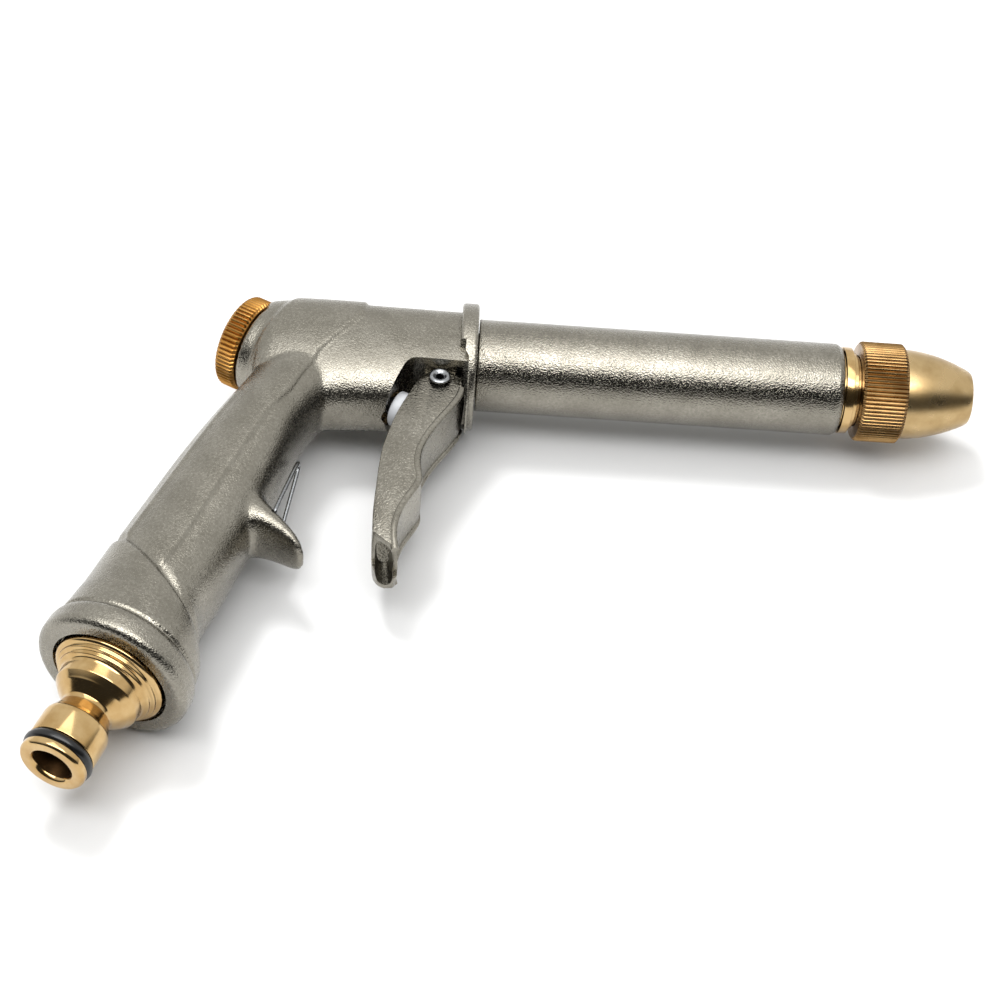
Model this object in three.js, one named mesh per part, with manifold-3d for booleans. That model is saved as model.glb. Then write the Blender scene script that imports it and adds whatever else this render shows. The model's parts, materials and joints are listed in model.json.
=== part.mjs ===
// Hose spray nozzle: a cast pistol-grip body with a long barrel, a brass twist nozzle,
// a front trigger that opens a spring-closed valve, and a quick-connect tail for the hose.
// It lies on its side, as it is put down: +X runs along the barrel to the nozzle,
// +Y points away from the grip, and +Z is up, across the body.
// The design frame has its zero on the barrel axis, at the front flange's front face.
// The finished group is moved so that its origin is the middle of its own footprint.
import * as THREE from 'three';
import { LoftGeometry } from 'three/addons/geometries/LoftGeometry.js';
import { mergeVertices } from 'three/addons/utils/BufferGeometryUtils.js';
import Module from 'manifold-3d';

const wasm = await Module();
wasm.setup();

// ---------------------------------------------------------------- driving dimensions, mm

const GAP = 0.3; // clearance between a piece and its neighbour
const FINE = 32; // facets round a large turned piece
const MEDIUM = 24; // facets round a middling one
const COARSE = 16; // facets round a small one

// Barrel, measured forward from the front flange.
const barrel = { radius: 12.75, wall: 1.75, length: 101, endRound: 2.2, backWall: 3 };
const spigot = { radius: 8.7, bore: 6.6, length: 13.7, grooveDepth: 1.3, grooveStart: 6, grooveWidth: 2 };

// Front fitting that closes the barrel and carries the twist nozzle's thread.
const neck = { plugLength: 13, collarInset: 0.75, collarLength: 2.3, grooveInset: 2.15, grooveLength: 1.2 };
const thread = { inset: 3.15, length: 13, bore: 6 };
const jet = { pinRadius: 2.2, shoulderRadius: 3.6, tipRadius: 1.1, webThickness: 3 };
const jetHoles = { radius: 1.2, count: 4 };

// Twist nozzle.
const twist = { gap: 1, overhang: 1.1, ringLength: 12.4 };
const nose = { inset: 0.35, length: 19.2, taper: 4.5 };
const outlet = { radius: 3, length: 5.4, tipRound: 1.3 };
const knurl = { nozzleFlutes: 72, knobFlutes: 60, depth: 0.45 };

// Body casting.
const flange = { radius: 17.6, drop: 1, thickness: 4.7, thinPlate: 2.2, round: 1 };
const housing = { halfWidth: 13.6, top: 13.4, rearTop: 14.2, bottom: 22.6, squareness: 2.6 };
const panelStep = { front: -29.5, rear: -32 };
const handle = { x: -42.3, tilt: 19.6, length: 123, halfWidth: 14, squareness: 2.25 };
const base = { radius: 20, rimLength: 8, flareRadius: 17.2, openingRadius: 14.9, openingDepth: 3.4 };
const passage = { radius: 5.5 };

// Valve, measured along its axis from the rear knob's front face, forward and down.
const valve = { x: -60.7, y: 1.06, bossRadius: 12.6, bossLength: 30 };
const mouth = { radius: 10.3, depth: 6 };
const chamber = { radius: 8.5, depth: 21 };
const port = { radius: 6.3 };
const gland = { bore: 5.3, bushLength: 8, lipDepth: 2.4 };
const stem = { radius: 2.5, plateRadius: 6.4, plateThickness: 1.7, discRadius: 7.7, discThickness: 3 };
const nut = { radius: 4.6, thickness: 2.4 };
const cap = { radius: 5, length: 5.2, socketDepth: 3, stand: 0.8 };
const knob = { radius: 13.06, thickness: 6.1, plugLength: 5 };
const spring = { meanRadius: 4.6, wire: 0.55, turns: 5.5 };

// Trigger, a channel that swings on a hollow rivet. Its outlines are measured from the rivet.
const trigger = { x: -9.7, y: -15, halfWidth: 9, cheek: 1.8, wall: 1.7, tipRound: 6.5, length: 62.5 };
const rivet = { radius: 1.8, hole: 1.1, headRadius: 2.9, headThickness: 0.8 };
const pushBar = { radius: 3, lever: 8.383 };
const web = { halfWidth: 6.8, radius: 4.5 };
const recess = { headroom: 3.7, corner: 2.4 };

// Finger hook on the grip and the wire latch that hangs on it, measured along and across the grip.
const hook = { halfWidth: 6.3 };
const latch = { along: 63.9, across: 15.7, length: 23.7, wire: 0.55, lean: 9 };
const latchSpread = { legs: 7.4, apex: 1.2 };

// Quick-connect tail, measured back from its end face.
const tail = { length: 28, nose: 8.45, bore: 4.9, boreMouth: 5.5, waist: 6.5, cone: 9.2 };
const tailRing = { start: 2.1, width: 2.7, depth: 1.7, wire: 1.32 };
const tailThread = { radius: 10.9, length: 20, washerThickness: 1.6 };

// ---------------------------------------------------------------- small helpers

const radians = THREE.MathUtils.degToRad;
const at = (x, y) => new THREE.Vector2(x, y);
const spot = (x, y, z = 0) => new THREE.Vector3(x, y, z);

// A matrix whose +Y runs along a direction in the XY plane, and whose +Z stays up.
function along(origin, direction) {
  const y = direction.clone().normalize();
  const z = spot(0, 0, 1);
  const x = new THREE.Vector3().crossVectors(y, z);
  return new THREE.Matrix4().makeBasis(x, y, z).setPosition(origin);
}

// A three.js geometry as a closed solid.
function solid(geometry, matrix = new THREE.Matrix4()) {
  const bare = new THREE.BufferGeometry();
  bare.setAttribute('position', geometry.getAttribute('position').clone());
  bare.setIndex(geometry.index);
  bare.applyMatrix4(matrix);
  const merged = mergeVertices(bare, 1e-4);
  const index = merged.index.array;
  const triangles = [];
  for (let i = 0; i < index.length; i += 3) {
    const [a, b, c] = [index[i], index[i + 1], index[i + 2]];
    if (a !== b && b !== c && c !== a) triangles.push(a, b, c);
  }
  const mesh = new wasm.Mesh({
    numProp: 3,
    vertProperties: merged.attributes.position.array,
    triVerts: new Uint32Array(triangles),
  });
  return new wasm.Manifold(mesh);
}

// A solid back as a three.js geometry.
function geometryOf(manifold) {
  const mesh = manifold.getMesh();
  const geometry = new THREE.BufferGeometry();
  geometry.setAttribute('position', new THREE.Float32BufferAttribute(mesh.vertProperties, 3));
  geometry.setIndex(new THREE.Uint32BufferAttribute(mesh.triVerts, 1));
  const flat = geometry.toNonIndexed();
  flat.computeVertexNormals();
  return flat;
}

// A turned piece round +Y. The profile is radius and height, and runs up its outer side.
function turned(profile, facets = MEDIUM) {
  const closed = profile.map(([radius, height]) => at(radius, height));
  if (profile[0][0] > 0) closed.push(closed[0].clone());
  return new THREE.LatheGeometry(closed, facets);
}

const rod = (radius, low, high, facets) =>
  turned([[0, low], [radius, low], [radius, high], [0, high]], facets);

const ring = (inner, outer, low, high, facets) =>
  turned([[inner, low], [outer, low], [outer, high], [inner, high]], facets);

// A rubber ring round +Y.
function sealRing(radius, wire, height) {
  const torus = new THREE.TorusGeometry(radius, wire, 6, COARSE);
  torus.rotateX(Math.PI / 2);
  torus.translate(0, height, 0);
  return torus;
}

// A flat outline in XY, made thick across Z.
function plate(points, low, high, round = 0) {
  const shape = new THREE.Shape(points);
  const geometry = new THREE.ExtrudeGeometry(shape, {
    depth: high - low - 2 * round,
    bevelEnabled: round > 0,
    bevelThickness: round,
    bevelSize: round,
    bevelOffset: -round,
    bevelSegments: 3,
    curveSegments: 12,
  });
  geometry.translate(0, 0, low + round);
  return geometry;
}

// A cylinder across Z.
const pin = (radius, low, high, x, y, facets = COARSE) =>
  new THREE.CylinderGeometry(radius, radius, high - low, facets)
    .rotateX(Math.PI / 2)
    .translate(x, y, (low + high) / 2);

// A quarter round of a turned profile, from its first radius and height to its last.
function quarter(fromRadius, fromHeight, toRadius, toHeight, steps = 4) {
  const points = [];
  for (let i = 0; i <= steps; i++) {
    const angle = (i / steps) * (Math.PI / 2);
    const radius = toRadius + (fromRadius - toRadius) * Math.cos(angle);
    points.push([radius, fromHeight + (toHeight - fromHeight) * Math.sin(angle)]);
  }
  return points;
}

// A wheel with straight flutes round its rim, turned round +Y.
function fluted(radius, low, high, flutes) {
  const points = [];
  for (let i = 0; i < flutes * 2; i++) {
    const angle = (i / (flutes * 2)) * 2 * Math.PI;
    const reach = i % 2 ? radius - knurl.depth : radius;
    points.push(at(reach * Math.cos(angle), reach * Math.sin(angle)));
  }
  const outline = new THREE.Shape(points);
  const geometry = new THREE.ExtrudeGeometry(outline, { depth: high - low, bevelEnabled: false });
  return geometry.rotateX(-Math.PI / 2).translate(0, low, 0);
}

// One section of a loft: a rounded box outline that may reach further one way than the other.
function section(centre, side, across, front, back, halfWidth, squareness) {
  const points = [];
  for (let i = 0; i < FINE; i++) {
    const angle = (i / FINE) * 2 * Math.PI;
    const c = Math.cos(angle);
    const s = Math.sin(angle);
    const reach = Math.sign(c) * Math.abs(c) ** (2 / squareness) * (c > 0 ? front : back);
    const width = Math.sign(s) * Math.abs(s) ** (2 / squareness) * halfWidth;
    points.push(centre.clone().addScaledVector(side, reach).addScaledVector(across, width));
  }
  return points;
}

// An outline moved sideways by a wall's thickness.
function offsetPath(points, distance) {
  return points.map((point, i) => {
    const before = points[Math.max(i - 1, 0)];
    const after = points[Math.min(i + 1, points.length - 1)];
    const run = after.clone().sub(before).normalize();
    return at(point.x + run.y * distance, point.y - run.x * distance);
  });
}

function piece(name, geometry, material) {
  const mesh = new THREE.Mesh(geometry, material);
  mesh.name = name;
  return mesh;
}

// ---------------------------------------------------------------- materials

const finish = (color, roughness, metalness) =>
  new THREE.MeshStandardMaterial({ color, roughness, metalness });
const satinNickel = () => finish(0x8f8d82, 0.42, 0.9);
const polishedBrass = () => finish(0xd8ae6a, 0.16, 1);
const satinBrass = () => finish(0xb79b68, 0.34, 1);
const rubber = () => finish(0x17181a, 0.6, 0);
const nylon = () => finish(0xe9e9e6, 0.45, 0);
const steel = () => finish(0xb9bcc0, 0.25, 1);

// ---------------------------------------------------------------- axes

const Z = spot(0, 0, 1);
const barrelFrame = along(spot(0, 0), spot(1, 0));

// The valve's axis passes a push bar's lever below the trigger's rivet.
const valveOrigin = spot(valve.x, valve.y);
const triggerOrigin = spot(trigger.x, trigger.y);
const toRivet = triggerOrigin.clone().sub(valveOrigin);
const valveTilt = Math.atan2(-toRivet.y, toRivet.x) + Math.asin(pushBar.lever / toRivet.length());
const valveAxis = spot(Math.cos(valveTilt), -Math.sin(valveTilt));
const valveFrame = along(valveOrigin, valveAxis);
const onValve = (t) => valveOrigin.clone().addScaledVector(valveAxis, t);

const gripOrigin = spot(handle.x, 0);
const gripAxis = spot(-Math.sin(radians(handle.tilt)), -Math.cos(radians(handle.tilt)));
const gripFront = spot(Math.cos(radians(handle.tilt)), -Math.sin(radians(handle.tilt)));
const gripFrame = along(gripOrigin, gripAxis);
const onGrip = (s, a, z = 0) =>
  gripOrigin.clone().addScaledVector(gripAxis, s).addScaledVector(gripFront, a).addScaledVector(Z, z);

const tailEnd = handle.length + tail.length;

// Sizes that follow the barrel's radius.
const barrelBore = barrel.radius - barrel.wall;
const collarRadius = barrel.radius - neck.collarInset;
const grooveRadius = barrel.radius - neck.grooveInset;
const threadRadius = barrel.radius - thread.inset;
const ringRadius = barrel.radius + twist.overhang;
const noseRadius = barrel.radius - nose.inset;

// Places along the valve, counted back from the point beside the trigger's rivet.
const triggerReach = toRivet.dot(valveAxis);
const capFront = triggerReach - pushBar.radius - GAP;
const capBack = capFront - cap.length;
const wallPlane = capBack - cap.stand;
const bushEnd = wallPlane - gland.lipDepth;
const bushStart = bushEnd - gland.bushLength;

// ---------------------------------------------------------------- body casting

// Each station: distance from the flange, top, bottom and half width.
function housingSolid() {
  const h = housing;
  const rear = valve.x + 0.6;
  const stations = [
    [rear, h.rearTop - 4, h.bottom - 8, h.halfWidth - 4.4],
    [rear + 1.6, h.rearTop - 1.3, h.bottom - 4, h.halfWidth - 1.7],
    [rear + 5, h.rearTop - 0.2, h.bottom, h.halfWidth],
    [rear + 14, h.rearTop, h.bottom + 1.6, h.halfWidth + 0.4],
    [panelStep.rear, h.rearTop, h.bottom + 0.6, h.halfWidth + 0.3],
    [panelStep.front, h.top, h.bottom, h.halfWidth],
    [-flange.thinPlate, h.top, h.bottom - 1, h.halfWidth - 0.2],
  ];
  const up = spot(0, 1, 0);
  const sections = stations.map(([x, top, bottom, half]) =>
    section(spot(x, 0), up, Z, top, bottom, half, h.squareness));
  return solid(new LoftGeometry(sections, { capStart: true, capEnd: true }));
}

// Each station: share of the grip's length, reach forward, reach back and share of its half width.
function gripSolid() {
  const stations = [
    [0.05, 10, 10, 0.82],
    [0.14, 10.4, 12.2, 0.91],
    [0.24, 8.4, 13.8, 0.96],
    [0.34, 9.4, 15.3, 0.99],
    [0.46, 10.8, 16.5, 1],
    [0.6, 12.4, 16.9, 1.01],
    [0.72, 13.1, 17.3, 1.04],
    [0.82, 13.4, 17.5, 1.07],
  ].map(([share, front, back, half]) => [share * handle.length, front, back, half * handle.halfWidth]);
  const flareEnd = handle.length - base.rimLength - 0.8;
  const flare = base.flareRadius;
  stations.push([flareEnd - 8, flare - 1.6, flare + 0.2, flare - 1.6]);
  stations.push([flareEnd, flare, flare + 0.3, flare]);
  const sections = stations.map(([s, front, back, half]) =>
    section(onGrip(s, 0), gripFront, Z, front, back, half, handle.squareness));
  return solid(new LoftGeometry(sections, { capStart: true, capEnd: true }));
}

// The rim round the foot of the grip.
function rimSolid() {
  const low = handle.length - base.rimLength;
  const profile = [[0, low - 2], [base.flareRadius, low - 2], [base.flareRadius, low]];
  profile.push(...quarter(base.radius - 1.5, low, base.radius, low + 1.5));
  profile.push([base.radius, handle.length - 2], [base.radius - 0.7, handle.length - 0.6]);
  profile.push([base.radius - 1.8, handle.length], [0, handle.length]);
  return solid(turned(profile, FINE), gripFrame);
}

// The horn that a finger rests on. Each station, in grip coordinates: distance along, reach
// forward, half thickness and half width.
function hookSolid() {
  const stations = [
    [65.5, 6, 6.5, 1.3], [65.6, 12, 4.6, 1.2], [65.9, 16, 3.4, 1.1], [66.8, 20, 2.6, 1],
    [68, 23.4, 1.9, 0.8], [69.2, 25.8, 1.1, 0.5], [69.7, 26.6, 0.4, 0.25],
  ];
  const up = gripAxis.clone().negate();
  const sections = stations.map(([s, a, half, width]) =>
    section(onGrip(s, a), up, Z, half, half, width * hook.halfWidth, 2.4));
  return solid(new LoftGeometry(sections, { capStart: true, capEnd: true }));
}

function flangeSolid() {
  const f = flange;
  const low = -f.thickness;
  const profile = [[0, low], [f.radius - f.round, low], [f.radius, low + f.round]];
  profile.push([f.radius, -f.round], [f.radius - f.round, 0], [0, 0]);
  return solid(turned(profile, FINE), along(spot(0, -f.drop), spot(1, 0)));
}

// The space that the trigger's head swings in. A web stays at its middle, for the rivet.
function recessSolid() {
  const wall = onValve(wallPlane);
  const down = spot(-valveAxis.y, valveAxis.x).multiplyScalar(-1);
  const slope = (y) => wall.x + ((y - wall.y) * down.x) / down.y;
  const top = trigger.y + recess.headroom;
  const low = -housing.bottom - 8;
  const front = -flange.thinPlate;
  const { corner } = recess;
  const outline = [
    at(front, low), at(front, top), at(slope(top) + corner, top), at(slope(top - corner), top - corner),
    at(slope(low), low),
  ];
  const wide = housing.halfWidth + 12;
  const pocket = solid(plate(outline, -wide, wide));
  const boss = solid(pin(web.radius, -web.halfWidth, web.halfWidth, trigger.x, trigger.y, MEDIUM));
  const neckWidth = web.radius * 0.9;
  const bridge = solid(plate(
    [at(trigger.x - neckWidth, trigger.y), at(trigger.x + neckWidth, trigger.y),
      at(trigger.x + neckWidth, top + 1), at(trigger.x - neckWidth, top + 1)],
    -web.halfWidth, web.halfWidth));
  return pocket.subtract(boss.add(bridge));
}

// The waterway: tail socket, grip passage, valve bores and barrel socket.
function waterwaySolid() {
  const length = handle.length;
  const ledge = length - base.openingDepth;
  const socketTop = ledge - tailThread.length - tailThread.washerThickness - GAP;
  const socketRadius = tailThread.radius + GAP;
  const socketProfile = [
    [0, socketTop], [socketRadius, socketTop], [socketRadius, ledge], [base.openingRadius, ledge],
    [base.openingRadius, length + 1], [0, length + 1],
  ];
  const socket = solid(turned(socketProfile, FINE), gripFrame);

  const foot = onGrip(socketTop + 2, 0);
  const head = onValve(mouth.depth + passage.radius - 1.5);
  const run = head.clone().sub(foot);
  const grip = solid(rod(passage.radius, 0, run.length(), COARSE), along(foot, run));

  const valveProfile = [[0, -2], [mouth.radius, -2], [mouth.radius, mouth.depth]];
  valveProfile.push([chamber.radius, mouth.depth]);
  const portEnd = bushStart - GAP;
  valveProfile.push([chamber.radius, chamber.depth], [port.radius, chamber.depth], [port.radius, portEnd]);
  valveProfile.push([gland.bore, portEnd], [gland.bore, wallPlane + 2], [0, wallPlane + 2]);
  const bores = solid(turned(valveProfile, MEDIUM), valveFrame);

  const portTop = onValve(chamber.depth + 3);
  const barrelWay = solid(rod(spigot.bore, portTop.x + 3.2, 1, COARSE), barrelFrame);
  const barrelSocket = solid(rod(spigot.radius + GAP, -spigot.length - GAP, 1, MEDIUM), barrelFrame);
  return socket.add(grip).add(bores).add(barrelWay).add(barrelSocket);
}

function bodyGeometry() {
  const boss = solid(rod(valve.bossRadius, 0, valve.bossLength, FINE), valveFrame);
  let body = housingSolid().add(gripSolid()).add(rimSolid()).add(hookSolid()).add(boss);

  // Everything behind the rear knob's front face is trimmed flat.
  const behind = solid(rod(60, -60, GAP, COARSE), valveFrame);
  body = body.subtract(behind).add(flangeSolid());
  body = body.subtract(recessSolid()).subtract(waterwaySolid());

  const rivetHole = solid(pin(rivet.radius + GAP, -30, 30, trigger.x, trigger.y));
  const latchSpot = onGrip(latch.along, latch.across);
  const latchHole = solid(pin(latch.wire + GAP, -30, 30, latchSpot.x, latchSpot.y, 12));
  return geometryOf(body.subtract(rivetHole).subtract(latchHole));
}

// ---------------------------------------------------------------- barrel and twist nozzle

function barrelGeometry() {
  const b = barrel;
  const s = spigot;
  const groove = -s.grooveStart - s.grooveWidth;
  const profile = [
    [s.bore, -s.length], [s.radius, -s.length], [s.radius, groove], [s.radius - s.grooveDepth, groove],
    [s.radius - s.grooveDepth, -s.grooveStart], [s.radius, -s.grooveStart], [s.radius, GAP], [b.radius, GAP],
  ];
  profile.push(...quarter(b.radius, b.length - b.endRound, barrelBore, b.length));
  profile.push([barrelBore, b.backWall], [s.bore, b.backWall]);
  return turned(profile, FINE);
}

const plugStart = barrel.length - neck.plugLength;
const collarEnd = barrel.length + GAP + neck.collarLength;
const threadStart = collarEnd + neck.grooveLength;
const threadEnd = threadStart + thread.length;
const ringStart = threadStart + twist.gap;
const ringEnd = ringStart + twist.ringLength;
const noseEnd = ringEnd + nose.length;
const pinStart = threadEnd - 9;
const outletStart = noseEnd - outlet.length;

function fittingGeometry() {
  const plug = barrelBore - GAP;
  const groove = plugStart + 5;
  return turned([
    [thread.bore, plugStart], [plug, plugStart], [plug, groove], [plug - 1.5, groove],
    [plug - 1.5, groove + 2.2], [plug, groove + 2.2], [plug, barrel.length + GAP],
    [collarRadius, barrel.length + GAP], [collarRadius, collarEnd],
    [grooveRadius, collarEnd], [grooveRadius, threadStart], [threadRadius, threadStart],
    [threadRadius, threadEnd], [thread.bore, threadEnd],
  ], FINE);
}

// The pin that shapes the jet, with a drilled web that holds it in the fitting's bore.
function jetPinGeometry() {
  const webEnd = pinStart + jet.webThickness;
  const webRadius = thread.bore - GAP;
  let body = solid(turned([
    [0, pinStart], [webRadius, pinStart], [webRadius, webEnd], [jet.pinRadius, webEnd],
    [jet.pinRadius, outletStart - 8], [jet.shoulderRadius, outletStart - 6],
    [jet.shoulderRadius, outletStart - 4], [jet.tipRadius, outletStart + 3], [0, outletStart + 3],
  ], COARSE));
  for (let i = 0; i < jetHoles.count; i++) {
    const angle = (i / jetHoles.count) * 2 * Math.PI;
    const away = (jet.pinRadius + webRadius) / 2;
    const hole = rod(jetHoles.radius, pinStart - 1, webEnd + 1, 10);
    body = body.subtract(solid(hole.translate(away * Math.cos(angle), 0, away * Math.sin(angle))));
  }
  return geometryOf(body);
}

function nozzleCapGeometry() {
  const bore = threadRadius + GAP;
  const sealStart = ringStart + 5;
  const knurled = solid(fluted(ringRadius, ringStart, ringEnd, knurl.nozzleFlutes));
  const outer = [[0, ringEnd - 1], [noseRadius, ringEnd - 1], [noseRadius, ringEnd]];
  for (let i = 1; i < 6; i++) {
    const share = i / 6;
    const radius = noseRadius - nose.taper * share ** 1.9;
    outer.push([radius, ringEnd + share * (nose.length - outlet.tipRound)]);
  }
  const tip = noseRadius - nose.taper;
  outer.push(...quarter(tip, noseEnd - outlet.tipRound, tip - outlet.tipRound, noseEnd));
  outer.push([0, noseEnd]);
  const hollow = [
    [0, ringStart - 1], [bore, ringStart - 1], [bore, sealStart], [bore + 1.3, sealStart],
    [bore + 1.3, sealStart + 2.6], [bore, sealStart + 2.6], [bore, threadEnd + 2],
    [outlet.radius * 2.1, outletStart - 2], [outlet.radius, outletStart],
    [outlet.radius, noseEnd + 1], [0, noseEnd + 1],
  ];
  const cut = solid(turned(hollow, MEDIUM));
  return geometryOf(knurled.add(solid(turned(outer, FINE))).subtract(cut));
}

// ---------------------------------------------------------------- valve train

const discFront = chamber.depth - GAP;
const discBack = discFront - stem.discThickness;
const plateFront = discBack - GAP;
const plateBack = plateFront - stem.plateThickness;

// The stem carries the plate that the spring pushes on.
function stemGeometry() {
  return turned([
    [0, plateBack - 1.5], [stem.radius, plateBack - 1.5], [stem.radius, plateBack],
    [stem.plateRadius, plateBack], [stem.plateRadius, plateFront], [stem.radius, plateFront],
    [stem.radius, capBack + cap.socketDepth - GAP], [0, capBack + cap.socketDepth - GAP],
  ], COARSE);
}

// The hexagon nut that clamps the disc to the plate.
function nutGeometry() {
  const outline = new THREE.Shape();
  for (let i = 0; i < 6; i++) {
    const angle = (i / 6) * 2 * Math.PI;
    outline[i ? 'lineTo' : 'moveTo'](nut.radius * Math.cos(angle), nut.radius * Math.sin(angle));
  }
  const hole = new THREE.Path();
  hole.absarc(0, 0, stem.radius + GAP, 0, 2 * Math.PI, true);
  outline.holes.push(hole);
  const geometry = new THREE.ExtrudeGeometry(outline, { depth: nut.thickness, bevelEnabled: false });
  return geometry.rotateX(-Math.PI / 2).translate(0, discFront + GAP, 0);
}

function pushCapGeometry() {
  const bore = stem.radius + GAP;
  const socketEnd = capBack + cap.socketDepth;
  return turned([
    [bore, capBack], [cap.radius, capBack], [cap.radius, capFront - 1], [cap.radius - 0.9, capFront],
    [0, capFront], [0, socketEnd], [bore, socketEnd],
  ], COARSE);
}

const bushMiddle = (bushStart + bushEnd) / 2;

function bushGeometry() {
  const bore = stem.radius + GAP;
  const outer = gland.bore - GAP;
  const groove = bushMiddle - 1.2;
  return turned([
    [bore, bushStart], [outer, bushStart], [outer, bushEnd], [bore, bushEnd],
    [bore, groove + 2.4], [bore + 1.3, groove + 2.4], [bore + 1.3, groove], [bore, groove],
  ], COARSE);
}

function springGeometry() {
  const low = knob.plugLength + 2 * GAP + spring.wire;
  const high = plateBack - GAP - spring.wire;
  class Coil extends THREE.Curve {
    getPoint(t) {
      const angle = t * spring.turns * 2 * Math.PI;
      const r = spring.meanRadius;
      return spot(r * Math.cos(angle), low + (high - low) * t, r * Math.sin(angle));
    }
  }
  const wire = new THREE.Shape();
  wire.absarc(0, 0, spring.wire, 0, 2 * Math.PI);
  const steps = spring.turns * 12;
  return new THREE.ExtrudeGeometry(wire, { steps, extrudePath: new Coil(), curveSegments: 3 });
}

function knobGeometry() {
  const plug = mouth.radius - GAP - 0.2;
  const grooveBack = knob.plugLength - 3.6;
  const grip = solid(fluted(knob.radius, -knob.thickness + 0.6, -0.4, knurl.knobFlutes));
  const core = knob.radius - knurl.depth - 0.2;
  const body = solid(turned([
    [0, -knob.thickness], [core - 0.6, -knob.thickness], [core, -knob.thickness + 0.6], [core, 0], [plug, 0],
    [plug, grooveBack], [plug - 1.6, grooveBack], [plug - 1.6, grooveBack + 2], [plug, grooveBack + 2],
    [plug, knob.plugLength], [0, knob.plugLength],
  ], FINE));
  return geometryOf(grip.add(body));
}

// ---------------------------------------------------------------- trigger

// The finger side of the trigger, from its head to its tip.
const triggerFront = [
  [6.9, -1.4], [6.3, -5.4], [3.9, -10.6], [0.8, -16], [-1.7, -21.2], [-3.4, -26.5], [-3.6, -31.5],
  [-2.7, -37], [-4.6, -41.8], [-7, -47.3], [-8.2, -53.6], [-8.2, -58.5], [-7, -trigger.length],
].map(([x, y]) => at(x, y));

// The grip side of its cheeks, from the tip to the head.
const triggerBack = [
  [-13.8, -58.6], [-14.6, -49.3], [-14.4, -38.9], [-13.9, -28.2], [-12.6, -20.9], [-10.5, -12.5],
  [-6.1, -1.4], [-3.1, 2.4], [0, 3.6], [3.5, 2.4], [6.2, 0.7],
].map(([x, y]) => at(x, y));

function triggerGeometry() {
  const t = trigger;
  const inside = t.halfWidth - t.cheek;
  const channel = solid(plate([...triggerFront, ...triggerBack], -t.halfWidth, t.halfWidth, 0.5));
  const inner = offsetPath(triggerFront, t.wall);
  inner[0].y += 8;
  const hollow = [...inner, at(-30, -t.length - 12), at(-30, 12), at(inner[0].x, 12)];
  hollow[inner.length - 1].y -= 8;
  let body = channel.subtract(solid(plate(hollow, -inside, inside)));

  // A round bar across the channel bears on the push cap, right below the rivet along the valve axis.
  const bar = onValve(triggerReach).sub(triggerOrigin);
  const reachOut = inside + 0.5;
  const rib = [
    at(bar.x, bar.y - 1.2), at(bar.x + 14, bar.y - 1.2), at(bar.x + 14, bar.y + 1), at(bar.x, bar.y + 1),
  ];
  const filled = solid(plate([...triggerFront, ...triggerBack], -reachOut, reachOut));
  const stiffener = solid(plate(rib, -reachOut, reachOut)).intersect(filled);
  body = body.add(solid(pin(pushBar.radius, -reachOut, reachOut, bar.x, bar.y))).add(stiffener);
  body = body.subtract(solid(pin(rivet.radius + GAP, -20, 20, 0, 0)));

  // Seen from the front, the tip is rounded off.
  const round = t.tipRound;
  const face = new THREE.Shape();
  face.moveTo(-t.halfWidth - 1, 20);
  face.lineTo(-t.halfWidth - 1, -t.length + round + 5);
  face.quadraticCurveTo(-t.halfWidth, -t.length - 1, -t.halfWidth + round, -t.length - 1);
  face.lineTo(t.halfWidth - round, -t.length - 1);
  face.quadraticCurveTo(t.halfWidth, -t.length - 1, t.halfWidth + 1, -t.length + round + 5);
  face.lineTo(t.halfWidth + 1, 20);
  const front = new THREE.ExtrudeGeometry(face, { depth: 80, bevelEnabled: false, curveSegments: 8 });
  front.translate(0, 0, -40).rotateY(Math.PI / 2);
  return geometryOf(body.intersect(solid(front)));
}

// A hollow rivet with a flat head at each end.
function rivetGeometry() {
  const r = rivet;
  const under = trigger.halfWidth + GAP;
  const over = under + r.headThickness;
  const profile = [
    [r.hole, -over], [r.headRadius, -over], [r.headRadius, -under], [r.radius, -under],
    [r.radius, under], [r.headRadius, under], [r.headRadius, over], [r.hole, over],
  ];
  return turned(profile, COARSE).rotateX(Math.PI / 2);
}

// ---------------------------------------------------------------- wire latch

// A narrow bail: both ends turn in to the hook, and its legs meet in a short crossbar.
function latchGeometry() {
  const rise = spot(Math.sin(radians(latch.lean)), Math.cos(radians(latch.lean)));
  const foot = hook.halfWidth - 1.6;
  const reach = (share, z) => rise.clone().multiplyScalar(latch.length * share).add(spot(0, 0, z));
  const half = [
    reach(0, foot), reach(0, latchSpread.legs - 0.6), reach(0.05, latchSpread.legs),
    reach(0.5, (latchSpread.legs + latchSpread.apex) / 2 + 0.6),
    reach(0.94, latchSpread.apex + 0.5), reach(1, latchSpread.apex - 0.5),
  ];
  const points = [...half, ...half.map((p) => spot(p.x, p.y, -p.z)).reverse()];
  const wire = new THREE.Shape();
  wire.absarc(0, 0, latch.wire, 0, 2 * Math.PI);
  const path = new THREE.CatmullRomCurve3(points, false, 'chordal');
  return new THREE.ExtrudeGeometry(wire, { steps: 44, extrudePath: path, curveSegments: 4 });
}

// ---------------------------------------------------------------- tail

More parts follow.
